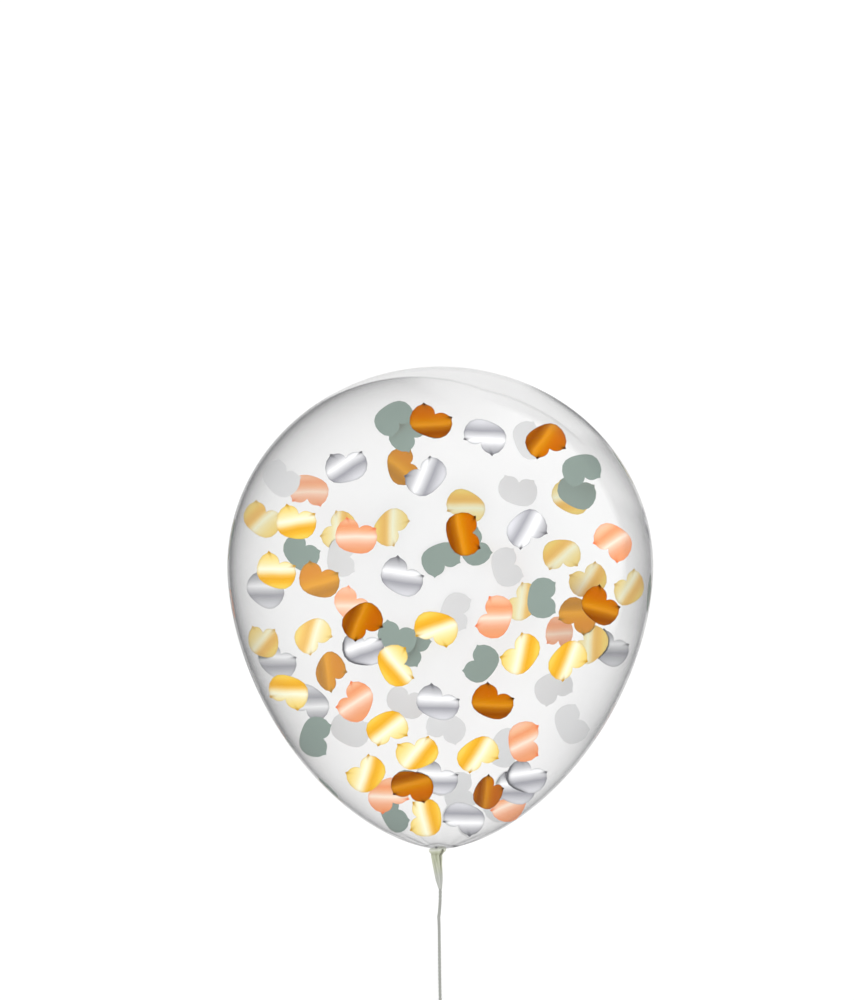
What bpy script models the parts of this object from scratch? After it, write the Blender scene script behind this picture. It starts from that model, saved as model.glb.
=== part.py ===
"""A clear balloon of confetti, lying on its side on a small flat spot, with its string laid out behind it.

Metres, +Z up. The balloon's axis lies along Y: its crown points to +Y and its tail to -Y.
The origin is on the floor under the middle of the balloon's length, tail included.
"""

import math

import bmesh
import bpy
import numpy as np

# Balloon
BALLOON_DIAMETER = 0.280
CROWN_HEIGHT = 0.132
BODY_LENGTH = 0.185
SHOULDER_POWER = 1.8
THROAT_POWER = 0.6
REST_SPOT_DEPTH = 0.003

# Knotted neck and the tail drawn out of it
COLLAR_DIAMETER = 0.0108
COLLAR_LENGTH = 0.0035
TAIL_DIAMETER = 0.0062
TAIL_SLEEVE_LENGTH = 0.0080
TAIL_TAPER_LENGTH = 0.0145
TAIL_TIP_DIAMETER = 0.0028

# String
STRING_DIAMETER = 0.0020
STRING_STEP = 0.0046
KNOT_LENGTH = 0.0062
KNOT_WIDTH = 0.0056
KNOT_HEIGHT = 0.0042
LOOP_LENGTH = 0.0300
LOOP_WIDTH = 0.0150
LOOP_FOOT_SPACING = 0.0026

# Clearances
CONTACT_GAP = 0.0003
FLOOR_LIFT = 0.0001

# Smoothness
TURNING_STEPS = 64
CROWN_STEPS = 14
BODY_STEPS = 20
TUBE_RESOLUTION = 2
ROUTE_SAMPLES = 16
LOOP_SAMPLES = 200
KNOT_SEGMENTS = 14
KNOT_RINGS = 9

# Where the string runs, chosen by hand: out of the tail, down to the floor and straight back along it
STRING_ROUTE = (
    (0.0000, -0.1718, 0.1370),
    (0.0000, -0.1760, 0.1369),
    (-0.0001, -0.1805, 0.1356),
    (-0.0003, -0.1846, 0.1322),
    (-0.0005, -0.1878, 0.1268),
    (-0.0006, -0.1902, 0.1195),
    (-0.0007, -0.1922, 0.1105),
    (-0.0008, -0.1941, 0.0995),
    (-0.0008, -0.1960, 0.0865),
    (-0.0008, -0.1980, 0.0725),
    (-0.0007, -0.2002, 0.0585),
    (-0.0006, -0.2028, 0.0450),
    (-0.0005, -0.2060, 0.0325),
    (-0.0004, -0.2100, 0.0215),
    (-0.0003, -0.2152, 0.0125),
    (-0.0002, -0.2218, 0.0062),
    (-0.0001, -0.2295, 0.0026),
    (0.0000, -0.2375, 0.0013),
    (0.0001, -0.2455, 0.0011),
    (0.0003, -0.2560, 0.0011),
    (0.0005, -0.2660, 0.0011),
    (0.0006, -0.2715, 0.0014),
    (0.0007, -0.2755, 0.0021),
)

BALLOON_RADIUS = BALLOON_DIAMETER / 2
AXIS_HEIGHT = BALLOON_RADIUS - REST_SPOT_DEPTH
TAIL_LENGTH = COLLAR_LENGTH + TAIL_SLEEVE_LENGTH + TAIL_TAPER_LENGTH
OVERALL_LENGTH = CROWN_HEIGHT + BODY_LENGTH + TAIL_LENGTH
WIDEST_Y = OVERALL_LENGTH / 2 - CROWN_HEIGHT
TAIL_TIP_Y = -OVERALL_LENGTH / 2
STRING_RADIUS = STRING_DIAMETER / 2


def clear_scene():
    """Removes every object of the opening scene."""
    for thing in list(bpy.data.objects):
        bpy.data.objects.remove(thing, do_unlink=True)


def new_collection(name):
    collection = bpy.data.collections.new(name)
    bpy.context.scene.collection.children.link(collection)
    return collection


def new_material(name, colour, roughness, alpha=1.0):
    """A plain finish: colour, roughness and how solid it looks."""
    material = bpy.data.materials.new(name)
    material.use_nodes = True
    shader = material.node_tree.nodes["Principled BSDF"]
    shader.inputs["Base Color"].default_value = (*colour, 1.0)
    shader.inputs["Roughness"].default_value = roughness
    shader.inputs["Metallic"].default_value = 0.0
    shader.inputs["Alpha"].default_value = alpha
    return material


def new_object(name, data, collection, material=None):
    thing = bpy.data.objects.new(name, data)
    collection.objects.link(thing)
    if material is not None:
        data.materials.append(material)
    return thing


def crown_outline():
    """Half an ellipse from the crown down to the widest ring."""
    angle = np.linspace(0.0, math.pi / 2, CROWN_STEPS + 1)
    return np.stack([BALLOON_RADIUS * np.sin(angle), CROWN_HEIGHT * np.cos(angle)], axis=1)


def body_outline():
    """The long taper from the widest ring to the collar: the radius shrinks as (1 - t^shoulder)^throat."""
    collar_share = COLLAR_DIAMETER / BALLOON_DIAMETER
    last = (1.0 - collar_share ** (1.0 / THROAT_POWER)) ** (1.0 / SHOULDER_POWER)
    down = np.sin(np.linspace(0.0, math.asin(last), BODY_STEPS + 1))[1:]
    radius = BALLOON_RADIUS * (1.0 - down**SHOULDER_POWER) ** THROAT_POWER
    return np.stack([radius, -BODY_LENGTH * down / last], axis=1)


def tail_outline():
    """The collar's flare, the straight sleeve and the taper to the tip, closed by a flat end."""
    collar_end = BODY_LENGTH + COLLAR_LENGTH
    sleeve_end = collar_end + TAIL_SLEEVE_LENGTH
    tip = sleeve_end + TAIL_TAPER_LENGTH
    waist = (COLLAR_DIAMETER + TAIL_DIAMETER) / 4
    middle = (TAIL_DIAMETER + TAIL_TIP_DIAMETER) / 4
    return np.array(
        [
            (COLLAR_DIAMETER / 2, -(BODY_LENGTH + COLLAR_LENGTH / 3)),
            (waist, -(BODY_LENGTH + COLLAR_LENGTH * 2 / 3)),
            (TAIL_DIAMETER / 2, -collar_end),
            (TAIL_DIAMETER / 2, -sleeve_end),
            (middle, -(sleeve_end + TAIL_TAPER_LENGTH / 2)),
            (TAIL_TIP_DIAMETER / 2, -tip),
            (0.0, -tip),
        ]
    )


def flat_spot_cutter(collection):
    """A block with its top on the floor, which cuts the rest spot."""
    bpy.ops.mesh.primitive_cube_add(size=1.0)
    cutter = bpy.context.object
    cutter.name = "rest_spot_cutter"
    cutter.scale = (BALLOON_DIAMETER, OVERALL_LENGTH, BALLOON_RADIUS)
    cutter.location = (0.0, 0.0, -BALLOON_RADIUS / 2)
    for owner in list(cutter.users_collection):
        owner.objects.unlink(cutter)
    collection.objects.link(cutter)
    cutter.hide_render = True
    cutter.display_type = "WIRE"
    return cutter


def make_balloon(parts, cutters):
    """The bubble with its collar and tail, turned about its own axis and laid down along Y."""
    outline = np.concatenate([crown_outline(), body_outline(), tail_outline()])
    verts = [(x, 0.0, z) for x, z in outline]
    edges = [(i, i + 1) for i in range(len(verts) - 1)]
    mesh = bpy.data.meshes.new("balloon")
    mesh.from_pydata(verts, edges, [])
    latex = new_material("clear_latex", (0.80, 0.81, 0.82), 0.12, 0.35)
    balloon = new_object("balloon", mesh, parts, latex)
    balloon.location = (0.0, WIDEST_Y, AXIS_HEIGHT)
    balloon.rotation_euler = (-math.pi / 2, 0.0, 0.0)
    turn = balloon.modifiers.new("turn", "SCREW")
    turn.axis = "Z"
    turn.steps = TURNING_STEPS
    turn.render_steps = TURNING_STEPS
    turn.use_merge_vertices = True
    turn.merge_threshold = 0.00001
    turn.use_smooth_shade = True
    spot = balloon.modifiers.new("rest_spot", "BOOLEAN")
    spot.operation = "DIFFERENCE"
    spot.solver = "EXACT"
    spot.object = flat_spot_cutter(cutters)
    return balloon


def fitted_route():
    """The hand-chosen route, with its start at the tail's tip and its height in step with the tail's."""
    route = np.array(STRING_ROUTE)
    route[:, 1] += TAIL_TIP_Y - CONTACT_GAP - route[0, 1]
    rise = AXIS_HEIGHT / route[0, 2]
    route[:, 2] = np.where(route[:, 2] > KNOT_HEIGHT, route[:, 2] * rise, route[:, 2])
    return route


def along(points):
    """How far along the line each of its points is."""
    steps = np.linalg.norm(np.diff(points, axis=0), axis=1)
    return np.concatenate([[0.0], np.cumsum(steps)])


def resampled(points, step):
    """The same line with points about one step apart."""
    travelled = along(points)
    at = np.linspace(0.0, travelled[-1], math.ceil(travelled[-1] / step) + 1)
    return np.stack([np.interp(at, travelled, points[:, k]) for k in range(3)], axis=1)


def smooth_route(points, step):
    """A smooth curve through the points: on each stretch a cubic whose end slopes follow the neighbouring points."""
    before = np.vstack([2 * points[0] - points[1], points[:-1]])[:-1]
    start = points[:-1]
    end = points[1:]
    after = np.vstack([points[2:], 2 * points[-1] - points[-2]])
    t = np.linspace(0.0, 1.0, ROUTE_SAMPLES, endpoint=False)[None, :, None]
    a, b, c, d = (row[:, None, :] for row in (before, start, end, after))
    curve = 0.5 * (
        2 * b
        + (c - a) * t
        + (2 * a - 5 * b + 4 * c - d) * t**2
        + (3 * b - a - 3 * c + d) * t**3
    )
    line = np.vstack([curve.reshape(-1, 3), points[-1]])
    return resampled(line, step)


def tube(name, line, collection, material):
    """A round cord along the line, with closed ends."""
    curve = bpy.data.curves.new(name, "CURVE")
    curve.dimensions = "3D"
    curve.bevel_depth = STRING_RADIUS
    curve.bevel_resolution = TUBE_RESOLUTION
    curve.use_fill_caps = True
    spline = curve.splines.new("POLY")
    spline.points.add(len(line) - 1)
    spline.points.foreach_set("co", np.column_stack([line, np.ones(len(line))]).ravel())
    spline.use_smooth = True
    return new_object(name, curve, collection, material)


def loop_line(knot_centre):
    """A teardrop on the floor from one side of the knot's far face back to the other."""
    u = np.linspace(0.0, 1.0, LOOP_SAMPLES)
    swell = np.sin(math.pi * u)
    side = LOOP_FOOT_SPACING / 2 * np.cos(math.pi * u) + LOOP_WIDTH / 2 * np.sin(2 * math.pi * u) * swell
    foot_y = knot_centre[1] - KNOT_LENGTH / 2 - 2 * CONTACT_GAP
    low = STRING_RADIUS + FLOOR_LIFT
    line = np.stack(
        [
            knot_centre[0] + side,
            foot_y - LOOP_LENGTH * swell**2,
            low + (knot_centre[2] - low) * (1.0 - swell) ** 3,
        ],
        axis=1,
    )
    return resampled(line, STRING_STEP / 2)


def make_knot(centre, collection, material):
    """The pulled-tight knot between the string and its loop, a slightly flattened ball."""
    mesh = bpy.data.meshes.new("string_knot")
    ball = bmesh.new()
    bmesh.ops.create_uvsphere(ball, u_segments=KNOT_SEGMENTS, v_segments=KNOT_RINGS, radius=0.5)
    bmesh.ops.scale(ball, vec=(KNOT_WIDTH, KNOT_LENGTH, KNOT_HEIGHT), verts=ball.verts)
    ball.to_mesh(mesh)
    ball.free()
    mesh.shade_smooth()
    knot = new_object("string_knot", mesh, collection, material)
    knot.location = centre
    return knot


def make_string(collection):
    """The string from the tail's tip to its knot, with the hand loop past it."""
    route = fitted_route()
    for name in ("string", "string_knot", "hand_loop"):
        new_material(name, (0.42, 0.42, 0.41), 0.75)
    tube("string", smooth_route(route, STRING_STEP), collection, bpy.data.materials["string"])
    end = route[-1]
    centre = (end[0], end[1] - CONTACT_GAP - KNOT_LENGTH / 2, KNOT_HEIGHT / 2 + FLOOR_LIFT)
    make_knot(centre, collection, bpy.data.materials["string_knot"])
    tube("hand_loop", loop_line(centre), collection, bpy.data.materials["hand_loop"])


def main():
    clear_scene()
    parts = new_collection("Confetti balloon")
    cutters = new_collection("Cutters")
    make_balloon(parts, cutters)
    make_string(parts)


main()
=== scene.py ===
"""A clear balloon of foil confetti, lying on its side with its string laid out behind it.

Metres, +Z up. The balloon's axis lies along Y: its crown points to +Y and its tail to -Y.
"""

import math

import bpy
import numpy as np
from bpy.props import FloatProperty, FloatVectorProperty, IntProperty, PointerProperty
from bpy.types import Operator, Panel, PropertyGroup
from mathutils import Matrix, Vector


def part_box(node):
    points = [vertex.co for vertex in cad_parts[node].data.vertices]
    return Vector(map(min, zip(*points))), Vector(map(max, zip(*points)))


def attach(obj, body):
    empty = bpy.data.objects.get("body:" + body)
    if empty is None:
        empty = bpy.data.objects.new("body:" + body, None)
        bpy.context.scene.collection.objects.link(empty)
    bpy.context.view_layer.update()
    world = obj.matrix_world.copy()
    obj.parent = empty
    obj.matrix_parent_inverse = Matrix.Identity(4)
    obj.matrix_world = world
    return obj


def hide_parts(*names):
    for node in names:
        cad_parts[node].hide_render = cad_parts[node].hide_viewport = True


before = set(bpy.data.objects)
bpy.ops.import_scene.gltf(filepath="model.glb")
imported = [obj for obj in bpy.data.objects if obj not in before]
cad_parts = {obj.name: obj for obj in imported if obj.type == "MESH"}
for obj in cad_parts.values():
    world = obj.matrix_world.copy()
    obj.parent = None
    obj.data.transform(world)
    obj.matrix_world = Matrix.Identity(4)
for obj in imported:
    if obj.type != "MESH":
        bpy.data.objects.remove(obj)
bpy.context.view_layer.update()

bl_info = {
    "name": "Confetti balloon",
    "version": (1, 0, 0),
    "blender": (4, 5, 0),
    "location": "View3D > Sidebar > Balloon",
    "description": "Makes a clear balloon with foil confetti, its knotted neck and its string",
    "category": "Add Mesh",
}

BALLOON_LOW, BALLOON_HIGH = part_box("balloon")
KNOT_LOW, KNOT_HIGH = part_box("string_knot")
LOOP_LOW, LOOP_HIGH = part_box("hand_loop")
RADIUS = BALLOON_HIGH.x
AXIS_HEIGHT = BALLOON_HIGH.z - RADIUS
CROWN_Y = BALLOON_HIGH.y
TAIL_TIP_Y = BALLOON_LOW.y
KNOT_CENTRE = (KNOT_LOW + KNOT_HIGH) / 2

# The photograph's frame in pixels, and the camera's film back in millimetres
PHOTO_WIDTH = 854
PHOTO_HEIGHT = 1000
FILM_BACK = 36.0

# The softbox's side, place and turn, and how far the floor lies below the part
KEY_SIDE = 3.0
KEY_PLACE = (1.6, 1.2, 3.0)
KEY_TURN = (math.radians(-20), math.radians(27), 0.0)
FLOOR_DROP = 0.0004
WHITE = (1.0, 1.0, 1.0)

# The share of the rest depth over which the film eases onto the floor, and a step for slopes
SETTLE_SHARE = 0.8
SLOPE_STEP = 0.001

# How often a flake's height is halved, and the passes that then refine it. After the free ones a
# pass only moves it away from its wall. On a flank each pass is free.
HALVINGS = 24
PASSES = 14
FREE_PASSES = 6

# The share of the bubble's width that a flake keeps to, how many of their radii apart two flakes
# can't meet, and how much an outline is grown to find what lies over it
WIDTH_SHARE = 0.98
CLEAR_RADII = 2.2
GROWN_OUTLINE = 1.04

# How far from its notch a flake's painted reflection stripes start where no list says so, against a
# wall and on a flank
BANDS_OFF_NOTCH = 32
FLANK_BANDS_OFF_NOTCH = -30

# The string's points for each turn of its plies, and how far its UV map runs from ring to ring
LAY_STEPS = 14
PLY_UV_STEP = 0.2

# Where the string runs: out of the tail, down to the floor and straight along it
STRING_ROUTE = (
    (0.0000, -0.1718, 0.1370),
    (0.0000, -0.1760, 0.1369),
    (-0.0001, -0.1805, 0.1356),
    (-0.0003, -0.1846, 0.1322),
    (-0.0005, -0.1878, 0.1268),
    (-0.0006, -0.1902, 0.1195),
    (-0.0007, -0.1922, 0.1105),
    (-0.0008, -0.1941, 0.0995),
    (-0.0008, -0.1960, 0.0865),
    (-0.0008, -0.1980, 0.0725),
    (-0.0007, -0.2002, 0.0585),
    (-0.0006, -0.2028, 0.0450),
    (-0.0005, -0.2060, 0.0325),
    (-0.0004, -0.2100, 0.0215),
    (-0.0003, -0.2152, 0.0125),
    (-0.0002, -0.2218, 0.0062),
    (-0.0001, -0.2295, 0.0026),
    (0.0000, -0.2375, 0.0013),
    (0.0001, -0.2455, 0.0011),
    (0.0003, -0.2560, 0.0011),
    (0.0005, -0.2660, 0.0011),
    (0.0006, -0.2715, 0.0014),
    (0.0007, -0.2755, 0.0021),
)

# Flakes against the upper wall, foil outwards, the topmost first. Each has its foil, its centre's
# column and row in the photograph, the turn of its notch and the side that its foil's painted
# reflection stripes start from, both clockwise from up. One that doesn't lie along the wall also
# has the angle that it leans further towards +X.
UPPER_FLAKES = (
    ("copper", 431, 421, 27, -5),
    ("silver", 485, 436, 210, 180),
    ("silver", 346, 466, -5, -35),
    ("silver", 426, 476, -38, -67),
    ("copper", 546, 441, 160, 128),
    ("gold", 296, 522, 18, -8),
    ("rose", 356, 536, 20, 0),
    ("copper", 464, 534, 82, 80),
    ("silver", 527, 529, 150, 120),
    ("rose", 613, 542, 219, -30),
    ("gold", 276, 571, 28, 0),
    ("copper", 319, 580, 22, -15),
    ("silver", 402, 577, 38, 7),
    ("copper", 601, 606, 47, 17),
    ("gold", 436, 629, 200, 159),
    ("copper", 362, 622, 152, 113),
    ("rose", 495, 617, -65, 0),
    ("gold", 396, 666, 75, 50),
    ("gold", 521, 654, -48, -80),
    ("gold", 568, 661, 142, 110),
    ("silver", 363, 649, 12, -20),
    ("gold", 288, 692, 205, 180),
    ("silver", 438, 703, 30, 0),
    ("copper", 493, 702, 32, 2),
    ("rose", 355, 702, -60, -35),
    ("gold", 387, 729, 160, 142),
    ("gold", 417, 753, -15, -53),
    ("gold", 478, 755, 153, 121),
    ("rose", 525, 742, 90, -25),
    ("silver", 527, 777, 28, -8),
    ("copper", 412, 787, 195, 162),
    ("copper", 489, 793, 45, 95, 36),
    ("silver", 516, 788, 32, 0),
    ("gold", 366, 774, -40, -72),
    ("silver", 437, 778, 30, 0),
    ("gold", 425, 818, -85, -101),
    ("silver", 464, 819, 210, 180),
    ("rose", 388, 796, 150, 0),
    ("rose", 514, 803, -60, -25),
    ("copper", 330, 672, 127, 80, -22),
)

# Centres of the upper flakes that get painted shade along the stretch of rim away from the notch;
# the rim keeps the shape of any other
ROLL_SHADED_RIMS = ((527, 777), (363, 649))

# Centres of the upper flakes whose foil gets the same painted haze as the far ones
HAZE_PAINTED_FOILS = ((319, 580), (330, 672))

# Flakes on the lower wall whose foil shows from above, listed in the same way
LOWER_FACE_UP = (
    ("copper", 403, 466, 70, 38),
    ("gold", 466, 506, 205, 180),
    ("gold", 391, 527, 122, 90),
    ("gold", 338, 530, -58, -90),
    ("gold", 562, 555, 172, 140),
    ("gold", 571, 497, 20, -10),
    ("gold", 588, 580, -28, -60),
    ("copper", 578, 616, 212, 180),
    ("gold", 523, 602, -53, -85),
    ("gold", 313, 636, 140, 108),
    ("gold", 590, 645, -53, -88),
    ("gold", 257, 519, 30, 140),
    ("gold", 260, 641, 10, -35, -25),
    ("silver", 265, 590, 32, 0),
    ("silver", 277, 661, 32, 0),
    ("silver", 620, 648, 32, 0),
    ("silver", 310, 703, 212, 180),
    ("rose", 352, 605, 40, 0),
    ("rose", 560, 633, 190, 0, 30),
    ("rose", 309, 491, 190, 0),
    ("gold", 641, 588, -40, -60, 24),
)

# Flakes on the lower wall that show their plain backs: foil, centre, turn of the notch, and lean
LOWER_FACE_DOWN = (
    ("copper", 394, 418, 140),
    ("gold", 408, 433, 130),
    ("copper", 582, 470, 160),
    ("gold", 577, 492, 20),
    ("gold", 301, 552, 40),
    ("copper", 441, 559, 150),
    ("gold", 474, 546, 60),
    ("copper", 543, 598, 90),
    ("copper", 397, 637, 20),
    ("gold", 413, 648, 120),
    ("copper", 481, 664, -60),
    ("gold", 303, 737, 100),
    ("copper", 377, 813, 60, -30),
    ("silver", 456, 612, 100),
    ("rose", 507, 567, 70),
    ("silver", 518, 490, 10),
    ("silver", 554, 688, 150),
    ("silver", 574, 724, 60),
    ("rose", 446, 728, 200),
    ("silver", 406, 702, 20),
    ("rose", 506, 748, 110),
    ("silver", 530, 440, 60),
    ("rose", 350, 730, 20),
    ("silver", 460, 792, 80),
    ("silver", 342, 557, 90),
    ("silver", 281, 478, 40),
)

# Flakes on the flanks: foil, side of the balloon, place along it, angle below the axis and turn
FLANK_FLAKES = (
    ("silver", -1, 0.098, -4, 40),
    ("gold", -1, 0.058, 0, 150),
    ("rose", -1, 0.014, -5, 80),
    ("silver", -1, -0.030, 1, 200),
    ("copper", -1, -0.072, -4, 20),
    ("gold", -1, -0.108, -1, 110),
    ("gold", 1, 0.106, -2, 20),
    ("silver", 1, 0.066, -6, 130),
    ("copper", 1, 0.022, 1, 60),
    ("silver", 1, -0.020, -4, 250),
    ("rose", 1, -0.062, 0, 170),
    ("silver", 1, -0.100, -3, 30),
)


# Sizes and colours that a user would change


def amount(name, description, default):
    return FloatProperty(name=name, description=description, default=default)


def metres(name, description, default):
    return FloatProperty(name=name, description=description, default=default, unit="LENGTH")


def tint(name, description, default):
    return FloatVectorProperty(
        name=name, description=description, default=default, subtype="COLOR"
    )


class BalloonSettings(PropertyGroup):
    """The bubble, and the neck that is tied off behind it."""

    crown_height: metres("Crown height", "From the widest ring to the crown", 0.132)
    body_length: metres("Body length", "From the widest ring back to the collar", 0.185)
    shoulder_power: amount("Shoulder power", "How long the body stays wide", 1.8)
    throat_power: amount("Throat power", "How bluntly the body meets its neck", 0.6)
    wall: metres("Wall", "Thickness of the film", 0.0003)
    rest_depth: metres("Rest depth", "How far the underside settles flat", 0.003)
    pleats: IntProperty(name="Pleats", description="Pleats gathered at the throat", default=14)
    pleat_depth: amount("Pleat depth", "Depth of the pleats, as a share of the radius", 0.09)
    pleat_reach: metres("Pleat reach", "How far the pleats run into the bubble", 0.012)
    collar_diameter: metres("Collar", "Across the rolled collar", 0.0108)
    collar_length: metres("Collar length", "Length of the rolled collar", 0.0035)
    tail_diameter: metres("Tail", "Across the neck's sleeve", 0.0062)
    sleeve_length: metres("Sleeve length", "Straight length behind the collar", 0.0080)
    tip_diameter: metres("Tip", "Across the tail's end", 0.0030)
    film_colour: tint("Film", "Grey of the film seen edge-on", (0.10, 0.10, 0.105))
    latex_colour: tint("Latex", "The gathered neck", (0.48, 0.50, 0.375))
    # Painted shade between the neck's pleats
    crease_shade_colour: tint("Creases", "Between the neck's pleats", (0.23, 0.24, 0.15))


class ConfettiSettings(PropertyGroup):
    """The foil flakes sealed in the balloon."""

    flake_radius: metres("Flake radius", "Of the disc that a flake is cut from", 0.0138)
    thickness: metres("Thickness", "Thickness of the foil", 0.00016)
    gap: metres("Gap", "Room left between flakes, and to the film", 0.0004)
    curl: metres("Curl", "Radius that the flakes curl to", 0.140)
    tilt_limit: FloatProperty(
        name="Tilt limit",
        description="Most that a flake leans with the wall",
        default=math.radians(22),
        subtype="ANGLE",
    )
    backed_share: IntProperty(
        name="Every", description="Every so many flakes have a partner below", default=2
    )
    back_dark: tint("Dark backs", "Backs of gold and copper", (0.253, 0.318, 0.285))
    back_pale: tint("Pale backs", "Backs of silver and rose", (0.67, 0.67, 0.675))


class StringSettings(PropertyGroup):
    """The two-ply string, its knot and its hand loop."""

    diameter: metres("String", "Across the string", 0.0021)
    lay: metres("Lay", "Length of one turn of the plies", 0.0055)
    groove: amount("Groove", "Depth between the plies, as a share of the radius", 0.22)
    loop_width: metres("Loop", "Across the hand loop's path", 0.0150)
    loop_feet: metres("Loop feet", "Between the loop's ends", 0.0026)
    colour: tint("String", "Fibres", (0.30, 0.31, 0.285))


class StageSettings(PropertyGroup):
    """Camera, floor and light."""

    camera_place: FloatVectorProperty(
        name="Camera",
        description="Where the camera stands",
        default=(-0.00872, 0.0836, 2.637),
        subtype="XYZ",
    )
    lens: amount("Lens", "Focal length in millimetres", 136.77)
    floor_size: metres("Floor", "Side of the floor", 14.0)
    floor_colour: tint("Floor", "The floor's paint", (0.25, 0.25, 0.25))
    floor_glow: amount("Floor glow", "Light from the floor, which is a light table", 0.73)
    sky_strength: amount("Surroundings", "Light from all round", 1.3)
    key_power: amount("Key light", "The large softbox above, in watts", 7.0)


# Numpy surfaces


def closed_mesh(name, points, faces, uv_name, corners):
    """A smooth closed mesh of arrays of faces, with a UV map from the places of their corners.

    The faces are turned round if the volume that they close, a sixth of the sum of a . (b x c)
    over their triangles, comes out negative.
    """
    triangles = np.vstack(
        [part[:, [0, k, k + 1]] for part in faces for k in range(1, part.shape[1] - 1)]
    )
    a, b, c = (points[triangles[:, k]] for k in range(3))
    if np.einsum("ij,ij->", a, np.cross(b, c)) < 0:
        faces = [part[:, ::-1] for part in faces]
        corners = [part[:, ::-1] for part in corners]
    mesh = bpy.data.meshes.new(name)
    mesh.from_pydata(points, [], [face for part in faces for face in part.tolist()])
    places = np.concatenate([part.ravel() for part in corners]).astype(np.float32)
    mesh.uv_layers.new(name=uv_name).data.foreach_set("uv", places)
    mesh.shade_smooth()
    return mesh


def closed_skin(name, rings, uv_step=1.0):
    """A closed skin over rings of points, with a point at each end where its ring's middle is.

    The rings are shaped (rings, around, 3), and the corner (i, j) of the grid is point j of ring
    i. The UV map runs round and along.
    """
    count, around = rings.shape[:2]
    points = np.vstack([rings.reshape(-1, 3), rings[[0, -1]].mean(axis=1)])
    grid = np.meshgrid(np.arange(count - 1), np.arange(around), indexing="ij")
    i, j = (numbers.ravel() for numbers in grid)
    rows = np.stack([i, i, i + 1, i + 1], axis=1)
    columns = np.stack([j, j + 1, j + 1, j], axis=1)
    quads = rows * around + columns % around
    side = np.arange(around)
    first, last = count * around, count * around + 1
    start = np.stack([np.full(around, first), (side + 1) % around, side], axis=1)
    finish = np.stack([np.full(around, last), side, (side + 1) % around], axis=1)
    finish[:, 1:] += (count - 1) * around
    cap_columns = np.stack([side + 0.5, side + 1, side], axis=1) / around
    cap_rows = np.full((around, 3), (count - 1) * uv_step)
    corners = [
        np.stack([columns / around, rows * uv_step], axis=2),
        np.stack([cap_columns, 0.0 * cap_rows], axis=2),
        np.stack([cap_columns[:, [0, 2, 1]], cap_rows], axis=2),
    ]
    return closed_mesh(name, points, [quads, start, finish], "along", corners)


def set_attribute(mesh, name, values):
    """One number for each point of the mesh."""
    numbers = np.asarray(values, np.float32).ravel()
    mesh.attributes.new(name, "FLOAT", "POINT").data.foreach_set("value", numbers)


def add_object(name, data):
    made = bpy.data.objects.new(name, data)
    bpy.context.scene.collection.objects.link(made)
    return made


def add_piece(name, mesh, paint):
    piece = add_object(name, mesh)
    piece.data.materials.append(paint)
    return piece


def unit(vectors):
    return vectors / np.linalg.norm(vectors, axis=-1, keepdims=True)


def ease(t):
    """0 up to 0, 1 from 1 on, and 3t^2 - 2t^3 between."""
    t = np.clip(t, 0.0, 1.0)
    return t * t * (3.0 - 2.0 * t)


def bell(t):
    """exp(-t^2): 1 at 0, falling off to both sides."""
    return np.exp(-(t**2))


def once_round(count):
    """A row of angles once round a ring."""
    return np.linspace(0.0, math.tau, count, endpoint=False)[None, :]


def smoothed(line):
    """Each number but the outer two at each end becomes the mean of five, weighed 1, 4, 6, 4, 1."""
    kernel = np.array([1.0, 4.0, 6.0, 4.0, 1.0]) / 16.0
    return np.concatenate([line[:2], np.convolve(line, kernel, mode="valid"), line[-2:]])


def travelled(points):
    """How far along the line each of its points lies."""
    steps = np.linalg.norm(np.diff(points, axis=0), axis=1)
    return np.concatenate([[0.0], np.cumsum(steps)])


def resampled(points, step):
    """The same line with points about one step apart."""
    along = travelled(points)
    at = np.linspace(0.0, along[-1], math.ceil(along[-1] / step) + 1)
    return np.stack([np.interp(at, along, points[:, k]) for k in range(3)], axis=1)


def smooth_route(points, step, samples=16):
    """A smooth curve through the points: cubics whose end slopes follow the points beside them."""
    before = np.vstack([2 * points[0] - points[1], points[:-1]])[:-1]
    after = np.vstack([points[2:], 2 * points[-1] - points[-2]])
    t = np.linspace(0.0, 1.0, samples, endpoint=False)[None, :, None]
    a, b, c, d = (row[:, None, :] for row in (before, points[:-1], points[1:], after))
    curve = 0.5 * (
        2 * b
        + (c - a) * t
        + (2 * a - 5 * b + 4 * c - d) * t**2
        + (3 * b - a - 3 * c + d) * t**3
    )
    return resampled(np.vstack([curve.reshape(-1, 3), points[-1]]), step)


def plied_rings(path, sizes, across, around=14, closed=False):
    """Rings of a two-ply string along a path.

    At the angle p round the path and the distance s along it, the radius is
    r (1 - groove (1 - |cos(p - 2 pi s / lay)|)): two lobes that turn once in each lay. The rings
    stand square to the path, with across as their fixed side.
    """
    tangent = unit(np.gradient(path, axis=0))
    if closed:
        tangent[[0, -1]] = unit(path[1] - path[-2])
    side = unit(across - (tangent @ across)[:, None] * tangent)
    over = np.cross(tangent, side)
    angle = once_round(around)
    lobe = np.abs(np.cos(angle - math.tau * travelled(path)[:, None] / sizes.lay))
    radius = sizes.diameter / 2 * (1.0 - sizes.groove * (1.0 - lobe))
    spoke = side[:, None] * np.cos(angle)[..., None] + over[:, None] * np.sin(angle)[..., None]
    return path[:, None] + spoke * radius[..., None]


# Materials


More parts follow.
